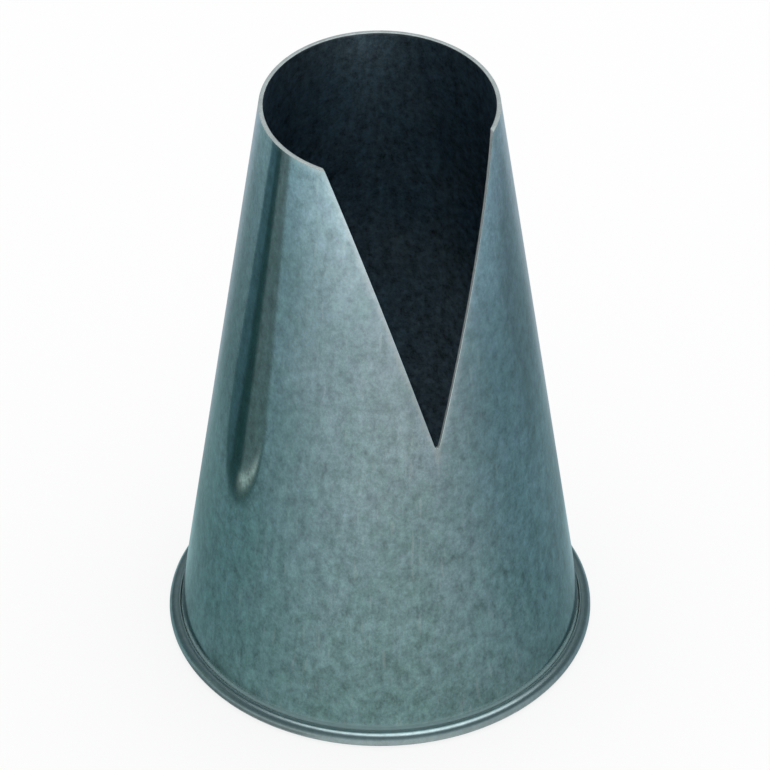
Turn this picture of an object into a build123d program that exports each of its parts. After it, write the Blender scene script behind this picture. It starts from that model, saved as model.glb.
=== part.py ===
from build123d import *
import math
import os

# Piping nozzle for Saint-Honore borders: one sheet of steel drawn to a cone, with its
# wide end rolled outwards into a hollow rim and a deep V notch cut down from its tip.
# It stands on the rolled rim. The origin is at the middle of the rim's underside, +Z runs
# up the nozzle's own axis to the tip, and the notch faces -Y.

# Driving dimensions
nozzle_height = 53.0
tip_bore_diameter = 18.5
rim_diameter = 35.0
sheet_thickness = 0.35

# The rolled rim: its sheet turns round a circle of this radius, taken to the middle of the
# sheet, until its end is this far from the wall. Its underside is worn flat by this much.
# The hollow inside it can't be seen or reached, and is drawn with a few flats.
roll_radius = 0.45
roll_end_gap = 0.05
underside_flat_depth = 0.05
roll_hollow_flats = 6

# The notch: its depth is taken to the point where its two straight edges would meet, its
# width is across its two corners at the tip, and a small radius blunts its root.
notch_depth = 26.0
notch_width = 14.1
notch_root_radius = 0.25
cut_overrun = 2.0

tip_bore_radius = tip_bore_diameter / 2
rim_radius = rim_diameter / 2

# The roll in section: two circles about one centre, one sheet thickness apart
roll_outer_radius = roll_radius + sheet_thickness / 2
roll_inner_radius = roll_radius - sheet_thickness / 2
roll_center_x = rim_radius - roll_outer_radius
roll_center_z = roll_outer_radius - underside_flat_depth
flat_half_width = math.sqrt(roll_outer_radius**2 - roll_center_z**2)

# The wall's bore side starts at the tip bore and is tangent to the outer circle of the roll,
# which gives the wall's lean from upright
run_out = roll_center_x - tip_bore_radius
run_down = nozzle_height - roll_center_z
wall_lean = math.atan2(run_out, run_down) - math.asin(roll_outer_radius / math.hypot(run_out, run_down))
tip_outer_radius = tip_bore_radius + sheet_thickness / math.cos(wall_lean)

# The rolled end stops short of the wall's outer side by its gap
end_turn = math.acos((roll_end_gap - roll_inner_radius) / roll_outer_radius)
wall_angle = wall_lean + math.pi
end_angle = wall_lean + math.tau + end_turn


def roll_point(radius, angle):
    """A point of the rim's section, on a circle about the middle of the roll."""
    x = roll_center_x + radius * math.cos(angle)
    z = roll_center_z + radius * math.sin(angle)
    return (x, z)


def middle_of(first, second):
    """The angle halfway between two angles of the roll."""
    return (first + second) / 2


flat_start_angle = math.atan2(-roll_center_z, -flat_half_width) + math.tau
flat_end_angle = math.atan2(-roll_center_z, flat_half_width) + math.tau
hollow_step = (wall_angle - end_angle) / roll_hollow_flats
hollow_angles = [end_angle + hollow_step * corner for corner in range(roll_hollow_flats + 1)]

with BuildPart() as nozzle_shell:
    # The sheet in section, from the tip down its bore side, round the roll and back up
    with BuildSketch(Plane.XZ):
        with BuildLine():
            bore_side = Line((tip_bore_radius, nozzle_height), roll_point(roll_outer_radius, wall_angle))
            inner_heel = ThreePointArc(
                bore_side @ 1,
                roll_point(roll_outer_radius, middle_of(wall_angle, flat_start_angle)),
                roll_point(roll_outer_radius, flat_start_angle),
            )
            underside = Line(inner_heel @ 1, roll_point(roll_outer_radius, flat_end_angle))
            outer_roll = ThreePointArc(
                underside @ 1,
                roll_point(roll_outer_radius, middle_of(flat_end_angle, end_angle)),
                roll_point(roll_outer_radius, end_angle),
            )
            Line(outer_roll @ 1, roll_point(roll_inner_radius, end_angle))
            inner_roll = Polyline([roll_point(roll_inner_radius, angle) for angle in hollow_angles])
            outer_side = Line(inner_roll @ 1, (tip_outer_radius, nozzle_height))
            Line(outer_side @ 1, bore_side @ 0)
        make_face()
    revolve(axis=Axis.Z)

    # The V notch, cut straight through one side of the cone from its axis outwards
    with BuildSketch(Plane.XZ) as notch_outline:
        with BuildLine():
            notch_top_half = notch_width / 2 * (notch_depth + cut_overrun) / notch_depth
            left_edge = Line((-notch_top_half, nozzle_height + cut_overrun), (0, nozzle_height - notch_depth))
            right_edge = Line(left_edge @ 1, (notch_top_half, nozzle_height + cut_overrun))
            Line(right_edge @ 1, left_edge @ 0)
        make_face()
        notch_root = notch_outline.vertices().sort_by(Axis.Y)[:1]
        fillet(notch_root, radius=notch_root_radius)
    extrude(amount=rim_radius + cut_overrun, mode=Mode.SUBTRACT)

nozzle_shell.part.label = "nozzle_shell"

os.makedirs("parts", exist_ok=True)
export_step(nozzle_shell.part, "parts/nozzle_shell.step")

print(f"Wall lean {math.degrees(wall_lean):.2f} degrees, tip over the sheet {2 * tip_outer_radius:.2f} mm")
print(f"Sheet volume {nozzle_shell.part.volume:.1f} mm3, roll turns {math.degrees(end_angle - wall_angle):.0f} degrees")
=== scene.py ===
import math

import bpy
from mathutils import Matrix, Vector


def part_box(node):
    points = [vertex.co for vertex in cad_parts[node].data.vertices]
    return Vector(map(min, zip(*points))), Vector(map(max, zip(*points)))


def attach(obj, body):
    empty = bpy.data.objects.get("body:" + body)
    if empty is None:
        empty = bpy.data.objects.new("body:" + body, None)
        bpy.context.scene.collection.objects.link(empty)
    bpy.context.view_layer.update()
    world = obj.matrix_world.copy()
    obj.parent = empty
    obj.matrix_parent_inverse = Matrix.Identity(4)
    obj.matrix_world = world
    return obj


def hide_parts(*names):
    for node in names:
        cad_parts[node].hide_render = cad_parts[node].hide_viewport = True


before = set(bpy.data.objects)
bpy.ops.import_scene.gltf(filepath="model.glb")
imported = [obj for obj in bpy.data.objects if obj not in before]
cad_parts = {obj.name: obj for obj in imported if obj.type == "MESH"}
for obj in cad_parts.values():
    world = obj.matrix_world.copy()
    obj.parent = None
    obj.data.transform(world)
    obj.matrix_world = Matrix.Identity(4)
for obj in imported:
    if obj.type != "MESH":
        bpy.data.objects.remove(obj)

# Saint-Honore piping nozzle: one steel sheet drawn to a cone, its wide end rolled outwards,
# a V notch cut from its tip. Metres, +Z up the nozzle's axis, the notch faces -Y.

bl_info = {
    "name": "Piping Nozzle",
    "version": (1, 0, 0),
    "blender": (4, 5, 0),
    "location": "3D View > Sidebar > Nozzle",
    "description": "Models a rolled and notched steel piping nozzle, its steel finishes and its stage",
    "category": "Add Mesh",
}

MM = 0.001
NODE = "nozzle_shell"
BODY = "root"
_, CAD_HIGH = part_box(NODE)
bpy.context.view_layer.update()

# How near vertices are welded: after the trim, in the punch and after the notch is cut
TRIM_WELD = 0.001 * MM
PUNCH_WELD = 0.01 * MM
NOTCH_WELD = 0.004 * MM
TRIM_THRESHOLD = 0.0001 * MM
# How far the punch reaches past the sheet
OVERRUN = 2.0 * MM
# The most y in the normal of a face that the punch cut, the least z in that of a face of the
# tip's ring, and how near the rim's faces lie to the roll's outside
NOTCH_FACE_Y = 0.04
TIP_FACE_Z = 0.35
RIM_FACE_REACH = 0.02 * MM


class NozzleSheet(bpy.types.PropertyGroup):
    """The drawn sheet and its rolled rim."""

    height: bpy.props.FloatProperty(
        name="Height", description="From the rim's flat underside to the tip",
        default=CAD_HIGH[2], min=0.01, unit="LENGTH", precision=5)
    rim_radius: bpy.props.FloatProperty(
        name="Rim Radius", description="From the axis to the outside of the rolled rim",
        default=CAD_HIGH[0], min=0.005, unit="LENGTH", precision=5)
    tip_bore_radius: bpy.props.FloatProperty(
        name="Tip Bore Radius", description="Inside radius of the small end",
        default=9.25 * MM, min=0.001, unit="LENGTH", precision=5)
    thickness: bpy.props.FloatProperty(
        name="Sheet", description="Thickness of the steel sheet",
        default=0.35 * MM, min=0.0001, unit="LENGTH", precision=5)
    roll_radius: bpy.props.FloatProperty(
        name="Roll Radius", description="Radius of the roll, to the middle of its sheet",
        default=0.45 * MM, min=0.0002, unit="LENGTH", precision=5)
    roll_end_gap: bpy.props.FloatProperty(
        name="Roll End Gap", description="Gap left between the rolled end and the wall",
        default=0.05 * MM, min=0.0, unit="LENGTH", precision=5)
    flat_depth: bpy.props.FloatProperty(
        name="Flat Depth", description="How far the rim's underside is worn flat",
        default=0.05 * MM, min=0.0, unit="LENGTH", precision=5)
    columns: bpy.props.IntProperty(
        name="Columns", description="Faces round the nozzle", default=240, min=24)
    roll_steps: bpy.props.IntProperty(
        name="Roll Steps", description="Faces round the roll's section", default=26, min=6)


class NozzleNotch(bpy.types.PropertyGroup):
    """The V notch and the edges that its punch leaves."""

    depth: bpy.props.FloatProperty(
        name="Depth", description="From the tip to the point where the notch's edges would meet",
        default=26.0 * MM, min=0.001, unit="LENGTH", precision=5)
    width: bpy.props.FloatProperty(
        name="Width", description="Across the notch's two corners at the tip",
        default=14.1 * MM, min=0.001, unit="LENGTH", precision=5)
    root_radius: bpy.props.FloatProperty(
        name="Root Radius", description="Radius that blunts the notch's root",
        default=0.25 * MM, min=0.00001, unit="LENGTH", precision=5)
    edge_break: bpy.props.FloatProperty(
        name="Edge Break", description="Width of the rounding on every cut edge",
        default=0.035 * MM, min=0.00001, unit="LENGTH", precision=6)


class NozzleSteel(bpy.types.PropertyGroup):
    """The tones of the steel, as linear colours."""

    # Wall, Base and Wall, Tip: painted shade darker by the rim and painted light lighter towards the tip,
    # blended up the wall
    wall_base_shaded: bpy.props.FloatVectorProperty(
        name="Wall, Base", description="Outer wall beside the rolled rim",
        subtype="COLOR", default=(0.204, 0.340, 0.342), min=0.0, max=1.0)
    wall_tip_lit: bpy.props.FloatVectorProperty(
        name="Wall, Tip", description="Outer wall beside the tip, brighter from handling",
        subtype="COLOR", default=(0.348, 0.450, 0.500), min=0.0, max=1.0)
    # Bore: partly a duller inside, partly painted shade of the enclosed cone, darker than the wall
    bore: bpy.props.FloatVectorProperty(
        name="Bore", description="Inside of the cone, left dull by the drawing die",
        subtype="COLOR", default=(0.180, 0.270, 0.330), min=0.0, max=1.0)
    cut_edge: bpy.props.FloatVectorProperty(
        name="Cut Edge", description="Bare metal of the tip and the notch",
        subtype="COLOR", default=(0.600, 0.665, 0.665), min=0.0, max=1.0)
    rolled_rim: bpy.props.FloatVectorProperty(
        name="Rolled Rim", description="Outside of the roll, burnished by rolling",
        subtype="COLOR", default=(0.440, 0.540, 0.555), min=0.0, max=1.0)


class NozzleStage(bpy.types.PropertyGroup):
    """Floor, light and camera."""

    floor_radius: bpy.props.FloatProperty(
        name="Floor Radius", description="Radius of the pale floor",
        default=4.0, min=0.2, unit="LENGTH")
    floor_colour: bpy.props.FloatVectorProperty(
        name="Floor Colour", description="Colour of the pale floor",
        subtype="COLOR", default=(0.93, 0.935, 0.935), min=0.0, max=1.0)
    floor_white: bpy.props.FloatProperty(
        name="Floor White", description="Share of plain white in the floor, seen or reflected",
        default=0.80, min=0.0, max=1.0)
    sky_strength: bpy.props.FloatProperty(
        name="Sky Strength", description="Light from all round", default=0.86, min=0.0)
    softbox_power: bpy.props.FloatProperty(
        name="Softbox Power", description="Power of the softbox over the nozzle",
        default=0.45, min=0.0, unit="POWER")
    camera_distance: bpy.props.FloatProperty(
        name="Camera Distance", description="From the camera to the point it looks at",
        default=0.650, min=0.1, unit="LENGTH")
    camera_elevation: bpy.props.FloatProperty(
        name="Camera Elevation", description="How far the camera looks down",
        default=math.radians(39.97), subtype="ANGLE")
    camera_azimuth: bpy.props.FloatProperty(
        name="Camera Azimuth",
        description="Where the camera stands round the axis, from -Y. The stage turns with it",
        default=math.radians(-20.80), subtype="ANGLE")
    camera_lens: bpy.props.FloatProperty(
        name="Lens", description="Focal length in millimetres, on a 36 mm sensor",
        default=373.67, min=10.0)
    aim_side: bpy.props.FloatProperty(
        name="Aim Side", description="How far right of the axis the camera looks",
        default=0.4147 * MM, unit="LENGTH", precision=5)
    aim_height: bpy.props.FloatProperty(
        name="Aim Height", description="Height on the axis that the camera looks at",
        default=24.051 * MM, unit="LENGTH", precision=5)


# Working in edit mode


def deselect_all():
    """Leaves nothing selected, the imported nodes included."""
    if bpy.context.mode != "OBJECT":
        bpy.ops.object.mode_set(mode="OBJECT")
    bpy.ops.object.select_all(action="DESELECT")


def pick_vertices(piece, wanted):
    """Selects the vertices whose place passes a test, and goes to edit mode."""
    bpy.ops.object.mode_set(mode="EDIT")
    bpy.ops.mesh.select_mode(type="VERT")
    bpy.ops.mesh.select_all(action="DESELECT")
    bpy.ops.object.mode_set(mode="OBJECT")
    for vertex in piece.data.vertices:
        vertex.select = wanted(vertex.co)
    bpy.ops.object.mode_set(mode="EDIT")


def pick_faces(piece, wanted):
    """Selects the faces that pass a test, and goes to edit mode."""
    bpy.ops.object.mode_set(mode="EDIT")
    bpy.ops.mesh.select_mode(type="FACE")
    bpy.ops.mesh.select_all(action="DESELECT")
    bpy.ops.object.mode_set(mode="OBJECT")
    for face in piece.data.polygons:
        face.select = wanted(face)
    bpy.ops.object.mode_set(mode="EDIT")


def apply_modifier(piece, kind, **settings):
    """Adds a modifier, sets it and applies it."""
    modifier = piece.modifiers.new(kind.title(), kind)
    for name, value in settings.items():
        setattr(modifier, name, value)
    bpy.context.view_layer.objects.active = piece
    bpy.ops.object.modifier_apply(modifier=modifier.name)


# The sheet and its roll


class SheetSection:
    """The sheet in section: a wall tangent to a roll, worked out from the nozzle's sizes."""

    def __init__(self, sheet, notch):
        self.height = sheet.height
        self.rim_radius = sheet.rim_radius
        self.half_sheet = sheet.thickness / 2
        self.roll_radius = sheet.roll_radius
        self.outer_roll = sheet.roll_radius + self.half_sheet
        self.inner_roll = sheet.roll_radius - self.half_sheet
        self.center_x = sheet.rim_radius - self.outer_roll
        self.center_z = self.outer_roll - sheet.flat_depth
        run_out = self.center_x - sheet.tip_bore_radius
        run_down = sheet.height - self.center_z
        tangent_turn = math.asin(self.outer_roll / math.hypot(run_out, run_down))
        self.lean = math.atan2(run_out, run_down) - tangent_turn
        end_turn = math.acos((sheet.roll_end_gap - self.inner_roll) / self.outer_roll)
        self.start_angle = self.lean + math.pi
        self.end_angle = self.lean + math.tau + end_turn
        self.notch_root_z = sheet.height - notch.depth
        self.notch_slope = notch.width / 2 / notch.depth

    def roll_point(self, radius, angle):
        """A point on a circle about the middle of the roll, as radius and height."""
        x = self.center_x + radius * math.cos(angle)
        z = self.center_z + radius * math.sin(angle)
        return x, z

    def distance_to_roll(self, place):
        """How far a place is from the middle line of the roll."""
        return math.hypot(math.hypot(place.x, place.y) - self.center_x, place.z - self.center_z)

    def wall_radius(self, z):
        """Radius of the wall's middle surface at a height."""
        foot_x, foot_z = self.roll_point(self.roll_radius, self.start_angle)
        return foot_x - (z - foot_z) * math.tan(self.lean)

    def in_notch_plane(self, face):
        """True for a face that the notch's punch cut."""
        low = self.notch_root_z - self.half_sheet
        return face.center.y < 0 and face.center.z > low and abs(face.normal.y) < NOTCH_FACE_Y


def model_wall(section, sheet):
    """The middle surface of the wall: an open cone a little taller than the nozzle."""
    foot_radius, foot_z = section.roll_point(section.roll_radius, section.start_angle)
    top_z = section.height + sheet.thickness
    deselect_all()
    bpy.ops.mesh.primitive_cone_add(
        vertices=sheet.columns, radius1=foot_radius, radius2=section.wall_radius(top_z),
        depth=top_z - foot_z, end_fill_type="NOTHING", location=(0, 0, (foot_z + top_z) / 2))
    shell = bpy.context.active_object
    shell.name = shell.data.name = "steel_shell"
    bpy.ops.object.transform_apply(location=True, rotation=True, scale=True)
    return shell


def roll_rim(shell, section, sheet):
    """Rolls the cone's wide end outwards, one narrow ring of sheet at a time."""
    radius, z = section.roll_point(section.roll_radius, section.start_angle)
    pick_vertices(shell, lambda place: place.z < z + section.half_sheet)
    bpy.ops.mesh.select_mode(type="EDGE")
    turn = (section.end_angle - section.start_angle) / sheet.roll_steps
    for step in range(1, sheet.roll_steps + 1):
        new_radius, new_z = section.roll_point(section.roll_radius, section.start_angle + turn * step)
        bpy.ops.mesh.extrude_region_move(TRANSFORM_OT_translate={"value": (0, 0, new_z - z)})
        growth = new_radius / radius
        bpy.ops.transform.resize(value=(growth, growth, 1), center_override=(0, 0, new_z))
        radius, z = new_radius, new_z
    bpy.ops.object.mode_set(mode="OBJECT")


def trim_level(z, keep_below):
    """Cuts the sheet off level at a height and closes it there with a flat ring."""
    bpy.ops.mesh.select_all(action="SELECT")
    bpy.ops.mesh.bisect(
        plane_co=(0, 0, z), plane_no=(0, 0, 1), clear_outer=keep_below, clear_inner=not keep_below,
        threshold=TRIM_THRESHOLD)
    bpy.ops.mesh.select_all(action="DESELECT")
    bpy.ops.mesh.select_mode(type="EDGE")
    bpy.ops.mesh.select_non_manifold(
        extend=False, use_wire=False, use_boundary=True, use_multi_face=False,
        use_non_contiguous=False, use_verts=False)
    bpy.ops.mesh.bridge_edge_loops()


def thicken_sheet(shell, section, sheet):
    """Gives the sheet its thickness, then trims its tip and the underside of its roll."""
    apply_modifier(shell, "SOLIDIFY", thickness=sheet.thickness, offset=0.0, use_even_offset=True)
    deselect_all()
    shell.select_set(True)
    bpy.ops.object.mode_set(mode="EDIT")
    trim_level(section.height, keep_below=True)
    trim_level(0.0, keep_below=False)
    bpy.ops.mesh.select_all(action="SELECT")
    bpy.ops.mesh.remove_doubles(threshold=TRIM_WELD)
    bpy.ops.mesh.normals_make_consistent(inside=False)
    bpy.ops.object.mode_set(mode="OBJECT")


def model_punch(section, sheet, notch):
    """A wedge with a rounded root, as wide as the notch, that points down between its edges."""
    root_z = section.notch_root_z
    top_z = section.height + OVERRUN
    reach = sheet.rim_radius + OVERRUN
    half_width = section.notch_slope * (top_z - root_z)
    deselect_all()
    bpy.ops.mesh.primitive_cube_add(
        size=1.0, location=(0, -reach / 2, (root_z + top_z) / 2),
        scale=(2 * half_width, reach, top_z - root_z))
    punch = bpy.context.active_object
    punch.name = "notch_punch"
    bpy.ops.object.transform_apply(location=True, rotation=True, scale=True)
    pick_vertices(punch, lambda place: place.z < root_z + OVERRUN)
    bpy.ops.transform.resize(value=(0, 1, 1), center_override=(0, 0, root_z))
    bpy.ops.mesh.remove_doubles(threshold=PUNCH_WELD)
    bpy.ops.mesh.select_mode(type="EDGE")
    bpy.ops.mesh.bevel(
        offset=notch.root_radius / section.notch_slope, offset_type="OFFSET", segments=8,
        affect="EDGES", clamp_overlap=False)
    bpy.ops.mesh.select_all(action="SELECT")
    bpy.ops.mesh.normals_make_consistent(inside=False)
    bpy.ops.object.mode_set(mode="OBJECT")
    return punch


def cut_notch(shell, section, sheet, notch):
    """Punches the V notch straight through one side, from the tip down."""
    punch = model_punch(section, sheet, notch)
    deselect_all()
    shell.select_set(True)
    bpy.context.view_layer.objects.active = shell
    apply_modifier(shell, "BOOLEAN", operation="DIFFERENCE", solver="EXACT", object=punch)
    deselect_all()
    punch.select_set(True)
    bpy.ops.object.delete()
    deselect_all()
    shell.select_set(True)
    bpy.context.view_layer.objects.active = shell
    bpy.ops.object.mode_set(mode="EDIT")
    bpy.ops.mesh.select_all(action="SELECT")
    bpy.ops.mesh.remove_doubles(threshold=NOTCH_WELD)
    bpy.ops.mesh.normals_make_consistent(inside=False)
    bpy.ops.object.mode_set(mode="OBJECT")


def finish_edges(shell, notch):
    """Smooths the sheet and breaks every cut edge with a narrow rounding."""
    bpy.ops.object.shade_smooth()
    apply_modifier(
        shell, "BEVEL", width=notch.edge_break, segments=2, limit_method="ANGLE",
        angle_limit=math.radians(32), use_clamp_overlap=False, miter_outer="MITER_SHARP")
    apply_modifier(shell, "WEIGHTED_NORMAL", mode="FACE_AREA", weight=90, keep_sharp=False)


def give_finishes(shell, section, sheet):
    """Gives each region of the sheet its own steel."""

    def outer_wall(face):
        return face.normal.x * face.center.x + face.normal.y * face.center.y > 0

    def rolled_rim(face):
        return section.distance_to_roll(face.center) < section.outer_roll + RIM_FACE_REACH

    def tip_ring(face):
        return face.normal.z > TIP_FACE_Z and face.center.z > section.height - sheet.thickness

    regions = [
        ("bore_steel", lambda face: True),
        ("wall_steel", outer_wall),
        ("rim_steel", rolled_rim),
        ("cut_steel", tip_ring),
        ("cut_steel", section.in_notch_plane),
    ]
    for finish, wanted in regions:
        index = shell.data.materials.find(finish)
        if index < 0:
            shell.data.materials.append(bpy.data.materials[finish])
            index = len(shell.data.materials) - 1
        pick_faces(shell, wanted)
        shell.active_material_index = index
        bpy.ops.object.material_slot_assign()
        bpy.ops.object.mode_set(mode="OBJECT")


# Shader nodes


def math_node(tree, operation, first, second=None, third=None):
    """A Math node whose inputs are sockets or numbers. Gives its output."""
    node = tree.nodes.new("ShaderNodeMath")
    node.operation = operation
    for socket, value in zip(node.inputs, (first, second, third)):
        if value is None:
            continue
        if isinstance(value, (int, float)):
            socket.default_value = value
        else:
            tree.links.new(value, socket)
    return node.outputs["Value"]


def map_range(tree, value, low, high, to_low=0.0, to_high=1.0, smooth=False):
    """Maps a value from one span to another, clamped. Gives its output."""
    node = tree.nodes.new("ShaderNodeMapRange")
    node.interpolation_type = "SMOOTHSTEP" if smooth else "LINEAR"
    node.inputs["From Min"].default_value = low
    node.inputs["From Max"].default_value = high
    node.inputs["To Min"].default_value = to_low
    node.inputs["To Max"].default_value = to_high
    tree.links.new(value, node.inputs["Value"])
    return node.outputs["Result"]


def ramps(tree, readings, *spans, smooth=True):
    """The product of one ramp or several. A span names a reading, where its ramp is 0 and where
    it is 1. A fourth number takes the place of that 0."""
    share = None
    for name, start, full, *least in spans:
        ramp = map_range(tree, readings[name], start, full, *least, smooth=smooth)
        share = ramp if share is None else math_node(tree, "MULTIPLY", share, ramp)
    return share


def mix_colours(tree, factor, first, second, blend="MIX"):
    """A colour Mix node whose inputs are sockets, colours or numbers. Gives its output."""
    node = tree.nodes.new("ShaderNodeMix")
    node.data_type = "RGBA"
    node.blend_type = blend
    for socket, value in ((node.inputs[0], factor), (node.inputs[6], first), (node.inputs[7], second)):
        if isinstance(value, bpy.types.NodeSocket):
            tree.links.new(value, socket)
        elif isinstance(value, (int, float)):
            socket.default_value = value
        else:
            socket.default_value = (*value[:3], 1.0)
    return node.outputs[2]


def scale_colour(tree, colour, share):
    """A colour, as a socket or as numbers, made brighter or darker by a socket."""
    toned = tree.nodes.new("ShaderNodeVectorMath")
    toned.operation = "SCALE"
    if isinstance(colour, bpy.types.NodeSocket):
        tree.links.new(colour, toned.inputs["Vector"])
    else:
        toned.inputs["Vector"].default_value = colour
    tree.links.new(share, toned.inputs["Scale"])
    return toned.outputs["Vector"]


def centred(tree, value, spread):
    """A noise about 0.5 brought about 0, times a number or a socket."""
    return math_node(tree, "MULTIPLY", math_node(tree, "SUBTRACT", value, 0.5), spread)


def object_millimetres(tree, stretch=(1.0, 1.0, 1.0), offset=(0.0, 0.0, 0.0)):
    """Object coordinates in millimetres, squeezed along an axis to draw a pattern out."""
    coords = tree.nodes.new("ShaderNodeTexCoord")
    mapping = tree.nodes.new("ShaderNodeMapping")
    mapping.inputs["Location"].default_value = offset
    mapping.inputs["Scale"].default_value = [share / MM for share in stretch]
    tree.links.new(coords.outputs["Object"], mapping.inputs["Vector"])
    return mapping.outputs["Vector"]


def split_axes(tree, vector):
    """The x, y and z of a vector."""
    parts = tree.nodes.new("ShaderNodeSeparateXYZ")
    tree.links.new(vector, parts.inputs["Vector"])
    return [parts.outputs[axis] for axis in "XYZ"]


def distance(tree, x, y):
    """How far a place is from the origin, from its two level coordinates."""
    squares = [math_node(tree, "MULTIPLY", way, way) for way in (x, y)]
    return math_node(tree, "SQRT", math_node(tree, "ADD", *squares))


def read_bearings(tree, vector, azimuth):
    """Readings of a vector: ahead along a level direction, to the right of it, and up."""
    x, y, z = split_axes(tree, vector)
    sine, cosine = math.sin(azimuth), math.cos(azimuth)
    ahead = math_node(tree, "MULTIPLY_ADD", x, sine, math_node(tree, "MULTIPLY", y, -cosine))
    right = math_node(tree, "MULTIPLY_ADD", x, cosine, math_node(tree, "MULTIPLY", y, sine))
    return {"ahead": ahead, "right": right, "up": z}


def read_floor(tree, azimuth):
    """Readings of a place on the floor, in millimetres from the nozzle's axis."""
    readings = read_bearings(tree, object_millimetres(tree), azimuth)
    readings["across"] = distance(tree, readings["ahead"], readings["right"])
    return readings


def noise(tree, vector, scale, detail=2.0, roughness=0.5):
    """Noise between 0 and 1, with features about 1 / scale millimetres across."""
    node = tree.nodes.new("ShaderNodeTexNoise")
    node.inputs["Scale"].default_value = scale
    node.inputs["Detail"].default_value = detail
    node.inputs["Roughness"].default_value = roughness
    tree.links.new(vector, node.inputs["Vector"])
    return node.outputs["Fac"]


# Where most of a noise's values lie
CORE = (0.3, 0.7)
WIDE = (0.25, 0.75)


# Effects that the steels share


def start_group(name, inputs, outputs):
    """An empty shader node group with named number sockets."""
    group = bpy.data.node_groups.new(name, "ShaderNodeTree")
    for label, value in inputs:
        socket = group.interface.new_socket(name=label, in_out="INPUT", socket_type="NodeSocketFloat")
        socket.default_value = value
    for label in outputs:
        group.interface.new_socket(name=label, in_out="OUTPUT", socket_type="NodeSocketFloat")
    return group, group.nodes.new("NodeGroupInput"), group.nodes.new("NodeGroupOutput")


def build_sheet_grain():
    """Dull mottling of drawn sheet with faint lines up the wall, patches of hue, and clouds."""
    group, given, result = start_group(
        "sheet_grain", [("Mottle Size", 1.0), ("Streak Contrast", 1.0)], ["Mottle", "Hue", "Clouds"])
    sized = group.nodes.new("ShaderNodeVectorMath")
    sized.operation = "SCALE"
    group.links.new(object_millimetres(group, stretch=(1.0, 1.0, 0.78)), sized.inputs["Vector"])
    size = math_node(group, "DIVIDE", 1.0, given.outputs["Mottle Size"])
    group.links.new(size, sized.inputs["Scale"])
    specks = noise(group, sized.outputs["Vector"], 1.1, detail=3.8, roughness=0.88)
    up_wall = object_millimetres(group, stretch=(1.0, 1.0, 0.05), offset=(3.1, 5.7, 1.3))
    lines = noise(group, up_wall, 1.7, roughness=0.55)
    streaks = centred(group, lines, given.outputs["Streak Contrast"])
    streak_share = 0.20
    mottle = math_node(group, "MULTIPLY_ADD", streaks, streak_share, specks)
    patches = object_millimetres(group, stretch=(1.0, 1.0, 0.6), offset=(7.3, 2.9, 4.1))
    hue = noise(group, patches, 0.75, detail=2.4, roughness=0.7)
    clouds = noise(group, object_millimetres(group, stretch=(1.0, 1.0, 0.7)), 0.16)
    for label, value in (("Mottle", mottle), ("Hue", hue), ("Clouds", clouds)):
        group.links.new(value, result.inputs[label])


def build_edge_rub(section):
    """Where handling rubs the sheet bright: along the tip and the notch's two edges."""
    group, given, result = start_group("edge_rub", [("Reach", 0.6)], ["Rub"])
    x, y, z = split_axes(group, object_millimetres(group))
    below_tip = math_node(group, "SUBTRACT", section.height / MM, z)
    above_root = math_node(group, "SUBTRACT", z, section.notch_root_z / MM)
    half_width = math_node(group, "MULTIPLY", above_root, section.notch_slope)
    beside = math_node(group, "SUBTRACT", math_node(group, "ABSOLUTE", x), half_width)
    out_of_reach = 100.0
    behind = math_node(group, "MULTIPLY", math_node(group, "GREATER_THAN", y, 0.0), out_of_reach)
    beside_notch = math_node(group, "ADD", math_node(group, "ABSOLUTE", beside), behind)
    nearest = math_node(group, "MINIMUM", below_tip, beside_notch)
    wavy = map_range(group, noise(group, object_millimetres(group), 0.9), *CORE, 0.4, 1.3)
    reach = math_node(group, "MULTIPLY", given.outputs["Reach"], wavy)
    share = math_node(group, "DIVIDE", nearest, reach)
    group.links.new(map_range(group, share, 0.0, 1.0, 1.0, 0.0, smooth=True), result.inputs["Rub"])


def build_scratches():
    """Fine scratches from use and washing, in two slanted directions."""
    group, given, result = start_group("fine_scratches", [("Amount", 0.5)], ["Scratch"])
    marks = []
    for slant, offset in ((0.35, 2.0), (-0.55, 9.0)):
        coords = group.nodes.new("ShaderNodeTexCoord")
        mapping = group.nodes.new("ShaderNodeMapping")
        mapping.inputs["Rotation"].default_value = (0.0, slant, slant)
        mapping.inputs["Location"].default_value = (offset, offset, offset)
        mapping.inputs["Scale"].default_value = (2.2 / MM, 2.2 / MM, 0.10 / MM)
        group.links.new(coords.outputs["Object"], mapping.inputs["Vector"])
        lines = noise(group, mapping.outputs["Vector"], 1.0, detail=1.0)
        rare, full = 0.68, 0.75
        marks.append(map_range(group, lines, rare, full))
    both = math_node(group, "MAXIMUM", *marks)
    group.links.new(math_node(group, "MULTIPLY", both, given.outputs["Amount"]), result.inputs["Scratch"])


def place_group(tree, name, **values):
    """Places a shared node group in a material with its own values."""
    node = tree.nodes.new("ShaderNodeGroup")
    node.node_tree = bpy.data.node_groups[name]
    for label, value in values.items():
        node.inputs[label.replace("_", " ")].default_value = value
    return node.outputs


# The four steels

# The pale coat in the rim's crease, on the wall and on the roll, painted light that lifts the crease's
# shade; the tints of the wall's hue patches, and the tint of the bore's clouds
CREASE_FILL_ON_WALL = (0.245, 0.365, 0.375)
CREASE_FILL_ON_RIM = (0.540, 0.650, 0.665)
GREEN_TINT = (0.97, 1.0, 0.965)
SLATE_TINT = (1.03, 1.0, 1.035)
BORE_TINT = (0.82, 0.92, 1.0)


def start_steel(name, metallic=1.0):
    """A new steel. Gives its tree and its shader, with the metal set on the shader's own socket."""
    steel = bpy.data.materials.new(name)
    steel.use_nodes = True
    shader = steel.node_tree.nodes["Principled BSDF"]
    shader.inputs["Metallic"].default_value = metallic
    return steel.node_tree, shader


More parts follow.
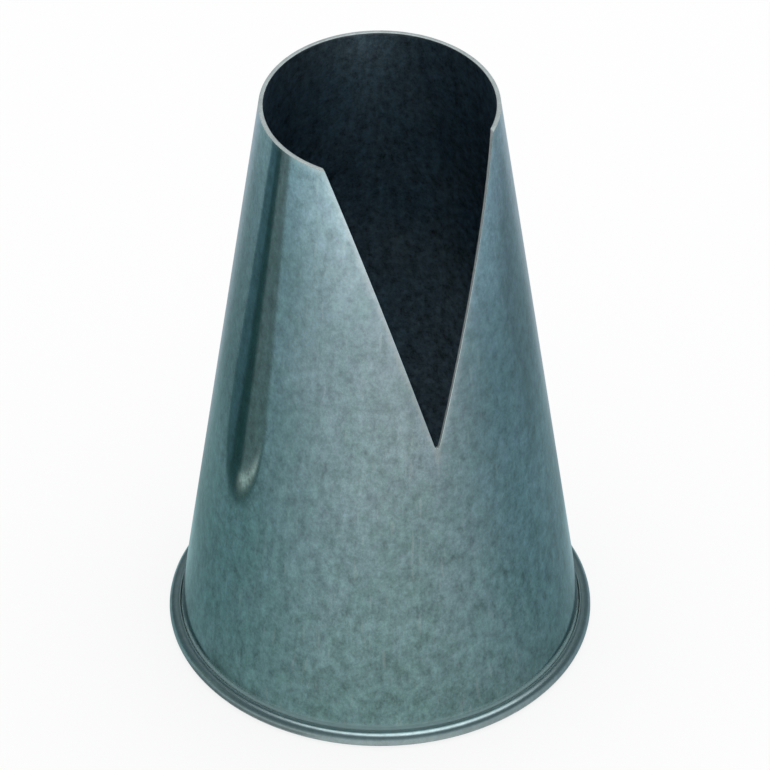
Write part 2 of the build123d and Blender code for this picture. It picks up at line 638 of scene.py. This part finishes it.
def add_bump(tree, shader, height, strength, depth):
    """Feeds a height to the shader's normal, with its depth in metres."""
    bump = tree.nodes.new("ShaderNodeBump")
    bump.inputs["Strength"].default_value = strength
    bump.inputs["Distance"].default_value = depth
    tree.links.new(height, bump.inputs["Height"])
    tree.links.new(bump.outputs["Normal"], shader.inputs["Normal"])


def lay_crease_fill(tree, shader, crease_fill, steel_colour, crease_fill_colour):
    """Colours the steel and lays a pale coat over it, which isn't metal: painted light that lifts the
    crease's shade.
    """
    tree.links.new(mix_colours(tree, crease_fill, steel_colour, crease_fill_colour), shader.inputs["Base Color"])
    tree.links.new(math_node(tree, "SUBTRACT", 1.0, crease_fill), shader.inputs["Metallic"])


def make_wall_steel(steel, section):
    """Satin drawn steel: mottled, with painted shade darker by the rim and painted light towards the tip,
    and a pale coat in the rim's crease, painted light that lifts its shade.
    """
    tree, shader = start_steel("wall_steel")
    grain = place_group(tree, "sheet_grain", Mottle_Size=1.0, Streak_Contrast=1.0)
    rub = place_group(tree, "edge_rub", Reach=0.7)["Rub"]
    scratch = place_group(tree, "fine_scratches", Amount=0.5)["Scratch"]
    _, _, z = split_axes(tree, object_millimetres(tree))
    # Painted shade by the rim and painted light towards the tip, blended up the wall with the clouds
    lit_rise = map_range(tree, z, 0.0, section.height / MM)
    cloudy_lit_rise = math_node(tree, "ADD", lit_rise, centred(tree, grain["Clouds"], 0.7))
    colour = mix_colours(tree, cloudy_lit_rise, steel.wall_base_shaded, steel.wall_tip_lit)
    contrast = map_range(tree, z, 8.0, 36.0, 2.0, 1.5)
    mottling = math_node(tree, "ADD", centred(tree, grain["Mottle"], contrast), 1.0)
    tint = mix_colours(tree, map_range(tree, grain["Hue"], *CORE), GREEN_TINT, SLATE_TINT)
    tinted = mix_colours(tree, 1.0, scale_colour(tree, colour, mottling), tint, blend="MULTIPLY")
    rubbed = math_node(tree, "MULTIPLY", rub, 0.40)
    scratched = math_node(tree, "MULTIPLY", scratch, 0.30)
    bare = mix_colours(tree, math_node(tree, "MAXIMUM", rubbed, scratched), tinted, steel.cut_edge)
    # A pale coat on the wall's foot by the crease: painted light that lifts the crease's shade
    crest = 2 * section.outer_roll / MM
    crease_fill_rise = 0.62
    crease_fill = map_range(tree, z, crest + crease_fill_rise, crest, 0.0, 0.92, smooth=True)
    lay_crease_fill(tree, shader, crease_fill, bare, CREASE_FILL_ON_WALL)
    roughness = map_range(tree, grain["Mottle"], *WIDE, 0.14, 0.09)
    roughness = math_node(tree, "MULTIPLY_ADD", rub, 0.04, roughness)
    roughness = math_node(tree, "MULTIPLY_ADD", scratch, 0.06, roughness)
    tree.links.new(roughness, shader.inputs["Roughness"])
    add_bump(tree, shader, grain["Mottle"], 0.35, 0.004 * MM)


def make_bore_steel(steel):
    """The inside: dull and dark, the dark partly painted shade of the enclosed cone, mottled by the die,
    with a coat of dried starch.
    """
    tree, shader = start_steel("bore_steel")
    grain = place_group(tree, "sheet_grain", Mottle_Size=0.75, Streak_Contrast=1.2)
    rub = place_group(tree, "edge_rub", Reach=0.35)["Rub"]
    toned = scale_colour(tree, steel.bore, map_range(tree, grain["Mottle"], *WIDE, 0.15, 1.85))
    cloudy = map_range(tree, grain["Clouds"], 0.35, 0.65)
    cool = mix_colours(tree, cloudy, toned, BORE_TINT, blend="MULTIPLY")
    worn = mix_colours(tree, math_node(tree, "MULTIPLY", rub, 0.35), cool, steel.cut_edge)
    tree.links.new(worn, shader.inputs["Base Color"])
    tree.links.new(map_range(tree, grain["Mottle"], 0.2, 0.8, 0.46, 0.36), shader.inputs["Roughness"])
    add_bump(tree, shader, grain["Mottle"], 0.4, 0.005 * MM)


def make_cut_steel(steel):
    """Sheared edges of the tip and the notch: pale torn metal that scatters light."""
    tree, shader = start_steel("cut_steel", metallic=0.5)
    fine = noise(tree, object_millimetres(tree), 7.0)
    broad = noise(tree, object_millimetres(tree), 1.1)
    fine_tone = map_range(tree, fine, *CORE, 0.86, 1.08)
    broad_tone = map_range(tree, broad, *CORE, 0.84, 1.06)
    tone = math_node(tree, "MULTIPLY", fine_tone, broad_tone)
    tree.links.new(scale_colour(tree, steel.cut_edge, tone), shader.inputs["Base Color"])
    tree.links.new(map_range(tree, broad, *CORE, 0.50, 0.40), shader.inputs["Roughness"])
    add_bump(tree, shader, fine, 0.3, 0.003 * MM)


def make_rim_steel(steel, section):
    """The rolled rim: satin, with a pale coat where the roll closes on the wall, painted light that lifts
    the crease's shade.
    """
    tree, shader = start_steel("rim_steel")
    grain = place_group(tree, "sheet_grain", Mottle_Size=0.8, Streak_Contrast=0.6)
    x, y, z = split_axes(tree, object_millimetres(tree))
    roll = section.outer_roll / MM
    middle_z = section.center_z / MM
    inwards = math_node(tree, "SUBTRACT", section.center_x / MM, distance(tree, x, y))
    place = {"inwards": inwards, "up": z}
    # The crease on the roll, where a pale coat is painted light that lifts its shade
    crevice = ramps(
        tree, place, ("inwards", roll * 0.22, roll * 0.62), ("up", middle_z, middle_z + 0.35))
    toned = scale_colour(tree, steel.rolled_rim, map_range(tree, grain["Mottle"], *WIDE, 0.82, 1.18))
    lay_crease_fill(tree, shader, math_node(tree, "MULTIPLY", crevice, 0.90), toned, CREASE_FILL_ON_RIM)
    polished = map_range(tree, grain["Mottle"], *WIDE, 0.34, 0.27)
    tree.links.new(math_node(tree, "MULTIPLY_ADD", crevice, 0.1, polished), shader.inputs["Roughness"])
    add_bump(tree, shader, grain["Mottle"], 0.25, 0.003 * MM)


# Stage. The card, the neighbour, the room and the softbox are set out from the camera's azimuth
# setting, and were graded to fit the photograph's view.


def show_in_reflections_only(thing):
    """Leaves a thing to reflections alone."""
    thing.visible_camera = False
    thing.visible_diffuse = False
    thing.visible_transmission = False
    thing.visible_volume_scatter = False
    thing.visible_shadow = False


def glowing_material(name):
    """A material that only glows. Gives it, its tree and its glow."""
    material = bpy.data.materials.new(name)
    material.use_nodes = True
    tree = material.node_tree
    tree.nodes.clear()
    glow = tree.nodes.new("ShaderNodeEmission")
    glow.inputs["Strength"].default_value = 1.0
    result = tree.nodes.new("ShaderNodeOutputMaterial")
    tree.links.new(glow.outputs["Emission"], result.inputs["Surface"])
    return material, tree, glow


def add_floor(stage, section):
    """A wide pale floor. It keeps the nozzle's soft shadow, and reflections keep its dark inside."""
    deselect_all()
    bpy.ops.mesh.primitive_circle_add(vertices=96, radius=stage.floor_radius, fill_type="NGON")
    floor = bpy.context.active_object
    floor.name = "pale_floor"
    material = bpy.data.materials.new("pale_floor")
    material.use_nodes = True
    tree = material.node_tree
    shader = tree.nodes["Principled BSDF"]
    shader.inputs["Base Color"].default_value = (*stage.floor_colour, 1.0)
    shader.inputs["Roughness"].default_value = 1.0
    shader.inputs["Specular IOR Level"].default_value = 0.0
    glow = tree.nodes.new("ShaderNodeEmission")
    glow.inputs["Color"].default_value = (1.0, 1.0, 1.0, 1.0)
    rays = tree.nodes.new("ShaderNodeLightPath")
    x, y, _ = split_axes(tree, object_millimetres(tree))
    outside = math_node(tree, "GREATER_THAN", distance(tree, x, y), section.rim_radius / MM)
    reflected = math_node(tree, "MULTIPLY", rays.outputs["Is Glossy Ray"], outside)
    looked_at = math_node(tree, "MAXIMUM", rays.outputs["Is Camera Ray"], reflected)
    looked_at = math_node(tree, "MAXIMUM", looked_at, rays.outputs["Is Transmission Ray"])
    blend = tree.nodes.new("ShaderNodeMixShader")
    tree.links.new(math_node(tree, "MULTIPLY", looked_at, stage.floor_white), blend.inputs["Fac"])
    tree.links.new(shader.outputs["BSDF"], blend.inputs[1])
    tree.links.new(glow.outputs["Emission"], blend.inputs[2])
    tree.links.new(blend.outputs["Shader"], tree.nodes["Material Output"].inputs["Surface"])
    floor.data.materials.append(material)


# The reflection card. Its readings are in millimetres from the nozzle's axis: ahead, towards
# the camera's azimuth, right and across. Facing is 1 straight ahead, 0 at the sides and -1
# straight behind. Pairs of colours are for its left and its right.
# The card glows though it is no lamp: a painted reflection round the nozzle's foot
CARD_RADIUS = 300.0 * MM
CARD_LIFT = 0.15 * MM
CARD_AHEAD = ((0.625, 0.632, 0.628), (0.665, 0.632, 0.625))
CARD_ASIDE = ((0.250, 0.355, 0.365), (0.268, 0.355, 0.390))
CARD_BEHIND = (0.42, 0.50, 0.55)
CARD_NEAR_TINT = ((0.945, 1.0, 1.0), (0.955, 1.0, 1.0))
CARD_AHEAD_POWER = 1.7
CARD_GLOW = 0.98

# What is added to the card's glow, as an amount and the ramps that place it: painted light and painted
# shade in what the steel reflects
CARD_SHADES = (
    # Three rings, each brighter, the last one mostly ahead
    (0.08, ("across", 24.0, 40.0)),
    (0.14, ("across", 48.0, 82.0)),
    (1.80, ("across", 88.0, 160.0), ("facing", -0.5, 0.2, 0.1)),
    # Beside the foot, at the back
    (0.60, ("facing", 0.0, -0.60), ("across", 26.0, 18.5)),
    # Painted shade further out, behind both sides
    (-0.24, ("across", 36.0, 52.0), ("across", 88.0, 74.0),
     ("facing", -0.05, -0.35), ("facing", -0.86, -0.66, 0.4)),
    # Painted shade and painted light: a dark and a bright band at the far right
    (-0.12, ("right", 50.0, 64.0), ("right", 82.0, 68.0)),
    (0.18, ("right", 76.0, 90.0)),
    # Painted shadow beside the foot at the right front, and right under the rim at the left front
    (-0.14, ("across", 25.0, 19.0), ("right", 3.0, 12.0), ("facing", 0.15, 0.45)),
    (-0.50, ("across", 19.6, 18.2), ("right", -4.5, -7.5), ("facing", 0.30, 0.50)),
)


def shade_card(tree, glow, azimuth):
    """Grades the card's colour and glow by place."""
    readings = read_floor(tree, azimuth)
    facing = math_node(tree, "DIVIDE", readings["ahead"], readings["across"])
    readings["facing"] = facing
    to_right = ramps(tree, readings, ("right", -25.0, 25.0), smooth=False)
    ahead = math_node(tree, "POWER", math_node(tree, "MAXIMUM", facing, 0.0), CARD_AHEAD_POWER)
    colour = mix_colours(
        tree, ahead, mix_colours(tree, to_right, *CARD_ASIDE), mix_colours(tree, to_right, *CARD_AHEAD))
    near_tint = mix_colours(tree, to_right, *CARD_NEAR_TINT)
    cooler = mix_colours(tree, 1.0, colour, near_tint, blend="MULTIPLY")
    colour = mix_colours(tree, ramps(tree, readings, ("across", 35.0, 80.0)), cooler, colour)
    behind = ramps(tree, readings, ("facing", -0.60, -1.00))
    tree.links.new(mix_colours(tree, behind, colour, CARD_BEHIND), glow.inputs["Color"])
    level = CARD_GLOW
    for amount, *spans in CARD_SHADES:
        level = math_node(tree, "MULTIPLY_ADD", ramps(tree, readings, *spans), amount, level)
    tree.links.new(level, glow.inputs["Strength"])


def add_reflection_card(stage, section):
    """A soft graded ring round the nozzle's foot, which only reflections show."""
    deselect_all()
    bpy.ops.mesh.primitive_circle_add(
        vertices=96, radius=CARD_RADIUS, fill_type="NOTHING", location=(0, 0, CARD_LIFT))
    card = bpy.context.active_object
    card.name = "reflection_card"
    bpy.ops.object.transform_apply(location=True)
    bpy.ops.object.mode_set(mode="EDIT")
    bpy.ops.mesh.select_mode(type="EDGE")
    bpy.ops.mesh.select_all(action="SELECT")
    bpy.ops.mesh.extrude_region_move(TRANSFORM_OT_translate={"value": (0, 0, 0)})
    shrink = section.rim_radius / CARD_RADIUS
    bpy.ops.transform.resize(value=(shrink, shrink, 1), center_override=(0, 0, 0))
    bpy.ops.object.mode_set(mode="OBJECT")
    material, tree, glow = glowing_material("reflection_card")
    shade_card(tree, glow, stage.camera_azimuth)
    card.data.materials.append(material)
    show_in_reflections_only(card)


# The neighbour. Its bearing is from the camera's azimuth. Its turn is in degrees round its own
# axis, 0 on its right and 90 towards the camera's azimuth.
NEIGHBOUR_BEARING = math.radians(-93.4)
NEIGHBOUR_AWAY = 57.2 * MM
NEIGHBOUR_RADII = (18.4 * MM, 7.4 * MM)
NEIGHBOUR_HEIGHT = 48.0 * MM
NEIGHBOUR_LIFT = 1.0 * MM
# The neighbour glows though it is no lamp: a painted reflection, with a shaded core, a lit flank, a foot in
# painted shadow and a painted glint
NEIGHBOUR_SHADOW = (0.034, 0.083, 0.081)
NEIGHBOUR_EDGE = (0.085, 0.165, 0.182)
NEIGHBOUR_LIT_FLANK = (0.180, 0.240, 0.228)
NEIGHBOUR_FOOT_SHADOW = (0.055, 0.115, 0.112)
NEIGHBOUR_GLINT = (1.10, 1.12, 1.00)


def shade_neighbour(tree, glow, azimuth, center):
    """A dark flank, a darker foot and a glint on its rim: painted shade, painted shadow and a painted
    highlight on a glowing cone.
    """
    offset = (-center[0] / MM, -center[1] / MM, 0.0)
    readings = read_bearings(tree, object_millimetres(tree, offset=offset), azimuth)
    turn = math_node(tree, "ARCTAN2", readings["ahead"], readings["right"])
    readings["turn"] = math_node(tree, "DEGREES", turn)
    layers = (
        ((("turn", 15.0, 20.0),), NEIGHBOUR_LIT_FLANK),
        ((("up", 3.0, 2.2),), NEIGHBOUR_FOOT_SHADOW),
        ((("up", 2.4, 2.9), ("up", 3.8, 3.2), ("turn", 10.0, 22.0), ("turn", 60.0, 46.0)), NEIGHBOUR_GLINT),
    )
    from_edge = ramps(tree, readings, ("turn", -9.0, -4.0), smooth=False)
    colour = mix_colours(tree, from_edge, NEIGHBOUR_EDGE, NEIGHBOUR_SHADOW)
    for spans, layer in layers:
        colour = mix_colours(tree, ramps(tree, readings, *spans, smooth=False), colour, layer)
    tree.links.new(colour, glow.inputs["Color"])


def add_neighbour(stage):
    """A second nozzle to the left, seen only as the dark streak down the left flank."""
    deselect_all()
    bearing = stage.camera_azimuth + NEIGHBOUR_BEARING
    center = (NEIGHBOUR_AWAY * math.sin(bearing), -NEIGHBOUR_AWAY * math.cos(bearing))
    low_radius, high_radius = NEIGHBOUR_RADII
    bpy.ops.mesh.primitive_cone_add(
        vertices=96, radius1=low_radius, radius2=high_radius, depth=NEIGHBOUR_HEIGHT,
        location=(*center, NEIGHBOUR_LIFT + NEIGHBOUR_HEIGHT / 2))
    neighbour = bpy.context.active_object
    neighbour.name = "neighbour_nozzle"
    bpy.ops.object.transform_apply(location=True)
    material, tree, glow = glowing_material("neighbour_nozzle")
    shade_neighbour(tree, glow, stage.camera_azimuth, center)
    neighbour.data.materials.append(material)
    show_in_reflections_only(neighbour)


# The room that metal reflects. Pairs of colours go from elsewhere to the camera's side.
ROOM_WALLS = ((0.085, 0.125, 0.135), (0.170, 0.220, 0.230))
ROOM_WALL_BEHIND = (0.140, 0.180, 0.190)
ROOM_HORIZON = ((0.110, 0.155, 0.165), (0.380, 0.450, 0.460))
ROOM_CEILING = (0.72, 0.80, 0.82)


def colour_room(tree, readings):
    """A dim room: a horizon, walls above it and a pale ceiling. Readings are of a direction."""
    walls = mix_colours(tree, ramps(tree, readings, ("ahead", 0.45, 0.92)), *ROOM_WALLS)
    behind = ramps(
        tree, readings, ("right", 0.14, -0.10), ("right", -0.60, -0.36), ("ahead", -0.35, -0.60))
    walls = mix_colours(tree, behind, walls, ROOM_WALL_BEHIND)
    horizon = mix_colours(tree, ramps(tree, readings, ("ahead", -0.3, 0.4)), *ROOM_HORIZON)
    darker_left = map_range(tree, readings["right"], -0.25, -0.60, 1.0, 0.50, smooth=True)
    horizon = scale_colour(tree, horizon, darker_left)
    sides = mix_colours(tree, ramps(tree, readings, ("up", 0.14, 0.42)), horizon, walls)
    lean_right = 0.10
    overhead = math_node(tree, "MULTIPLY_ADD", readings["right"], lean_right, readings["up"])
    return mix_colours(tree, map_range(tree, overhead, 0.87, 1.0, smooth=True), sides, ROOM_CEILING)


def add_world(stage):
    """Even pale light. The camera sees it white, and metal shows a dim room in its place."""
    world = bpy.data.worlds.new("studio")
    bpy.context.scene.world = world
    world.use_nodes = True
    tree = world.node_tree
    sky = tree.nodes["Background"]
    coords = tree.nodes.new("ShaderNodeTexCoord")
    room = colour_room(tree, read_bearings(tree, coords.outputs["Generated"], stage.camera_azimuth))
    rays = tree.nodes.new("ShaderNodeLightPath")
    shown = mix_colours(tree, rays.outputs["Is Glossy Ray"], (1.0, 1.0, 1.0), room)
    looked_at = math_node(tree, "MAXIMUM", rays.outputs["Is Glossy Ray"], rays.outputs["Is Camera Ray"])
    strength = map_range(tree, looked_at, 0.0, 1.0, stage.sky_strength, 1.0)
    tree.links.new(shown, sky.inputs["Color"])
    tree.links.new(strength, sky.inputs["Strength"])


SOFTBOX_SIDE = 0.36
SOFTBOX_BEARING = math.radians(140.0)
SOFTBOX_AWAY = 0.075
SOFTBOX_HEIGHT = 0.45


def add_softbox(stage):
    """A broad softbox over the nozzle, a little to the right and the back."""
    light = bpy.data.lights.new("softbox", "AREA")
    light.shape = "SQUARE"
    light.size = SOFTBOX_SIDE
    light.energy = stage.softbox_power
    lamp = bpy.data.objects.new("softbox", light)
    bpy.context.scene.collection.objects.link(lamp)
    bearing = stage.camera_azimuth + SOFTBOX_BEARING
    place = Vector((SOFTBOX_AWAY * math.sin(bearing), -SOFTBOX_AWAY * math.cos(bearing), SOFTBOX_HEIGHT))
    lamp.location = place
    lamp.rotation_euler = (-place).to_track_quat("-Z", "Y").to_euler()


def add_camera(stage):
    """The photograph's view: from the front, a little left of the notch, looking down."""
    azimuth, elevation = stage.camera_azimuth, stage.camera_elevation
    level = math.cos(elevation)
    back = Vector((math.sin(azimuth) * level, -math.cos(azimuth) * level, math.sin(elevation)))
    to_right = Vector((math.cos(azimuth), math.sin(azimuth), 0))
    aim = to_right * stage.aim_side + Vector((0, 0, stage.aim_height))
    data = bpy.data.cameras.new("photo_view")
    data.lens = stage.camera_lens
    data.sensor_width = 36.0
    data.clip_start = 0.01
    data.clip_end = 20.0
    camera = bpy.data.objects.new("photo_view", data)
    camera.location = aim + back * stage.camera_distance
    camera.rotation_euler = (math.pi / 2 - elevation, 0.0, azimuth)
    bpy.context.scene.collection.objects.link(camera)
    bpy.context.scene.camera = camera


# Operators and panel


class NOZZLE_OT_steels(bpy.types.Operator):
    """Builds the shared steel effects and the four steels of the nozzle"""

    bl_idname = "nozzle.steels"
    bl_label = "Build Steels"

    def execute(self, context):
        scene = context.scene
        steel = scene.nozzle_steel
        section = SheetSection(scene.nozzle_sheet, scene.nozzle_notch)
        build_sheet_grain()
        build_edge_rub(section)
        build_scratches()
        make_wall_steel(steel, section)
        make_bore_steel(steel)
        make_cut_steel(steel)
        make_rim_steel(steel, section)
        return {"FINISHED"}


class NOZZLE_OT_shell(bpy.types.Operator):
    """Models the nozzle's one sheet: its wall, its rolled rim and its notch"""

    bl_idname = "nozzle.shell"
    bl_label = "Model Shell"

    def execute(self, context):
        sheet, notch = context.scene.nozzle_sheet, context.scene.nozzle_notch
        section = SheetSection(sheet, notch)
        shell = model_wall(section, sheet)
        roll_rim(shell, section, sheet)
        thicken_sheet(shell, section, sheet)
        cut_notch(shell, section, sheet, notch)
        finish_edges(shell, notch)
        give_finishes(shell, section, sheet)
        if not shell.data.polygons:
            raise RuntimeError("the shell came out empty")
        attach(shell, BODY)
        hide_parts(NODE)
        return {"FINISHED"}


class NOZZLE_OT_stage(bpy.types.Operator):
    """Sets the pale floor, the soft light and the photograph's camera"""

    bl_idname = "nozzle.stage"
    bl_label = "Set Stage"

    def execute(self, context):
        scene = context.scene
        section = SheetSection(scene.nozzle_sheet, scene.nozzle_notch)
        stage = scene.nozzle_stage
        add_floor(stage, section)
        add_reflection_card(stage, section)
        add_neighbour(stage)
        add_world(stage)
        add_softbox(stage)
        add_camera(stage)
        scene.view_settings.view_transform = "Standard"
        return {"FINISHED"}


class NOZZLE_PT_sidebar(bpy.types.Panel):
    """Sizes, colours and steps of the nozzle"""

    bl_idname = "NOZZLE_PT_sidebar"
    bl_label = "Piping Nozzle"
    bl_space_type = "VIEW_3D"
    bl_region_type = "UI"
    bl_category = "Nozzle"

    def draw(self, context):
        for group in GROUPS:
            box = self.layout.box()
            settings = getattr(context.scene, group)
            box.label(text=settings.bl_rna.name)
            for field in settings.__annotations__:
                box.prop(settings, field)
        for operator in STEPS:
            self.layout.operator(operator)


GROUPS = {
    "nozzle_sheet": NozzleSheet,
    "nozzle_notch": NozzleNotch,
    "nozzle_steel": NozzleSteel,
    "nozzle_stage": NozzleStage,
}
STEPS = ("nozzle.steels", "nozzle.shell", "nozzle.stage")
CLASSES = (*GROUPS.values(), NOZZLE_OT_steels, NOZZLE_OT_shell, NOZZLE_OT_stage, NOZZLE_PT_sidebar)


def register():
    for part in CLASSES:
        bpy.utils.register_class(part)
    for name, group in GROUPS.items():
        setattr(bpy.types.Scene, name, bpy.props.PointerProperty(type=group))


def unregister():
    for name in GROUPS:
        delattr(bpy.types.Scene, name)
    for part in reversed(CLASSES):
        bpy.utils.unregister_class(part)


def main():
    register()
    bpy.ops.nozzle.steels()
    bpy.ops.nozzle.shell()
    bpy.ops.nozzle.stage()


if __name__ == "__main__":
    main()
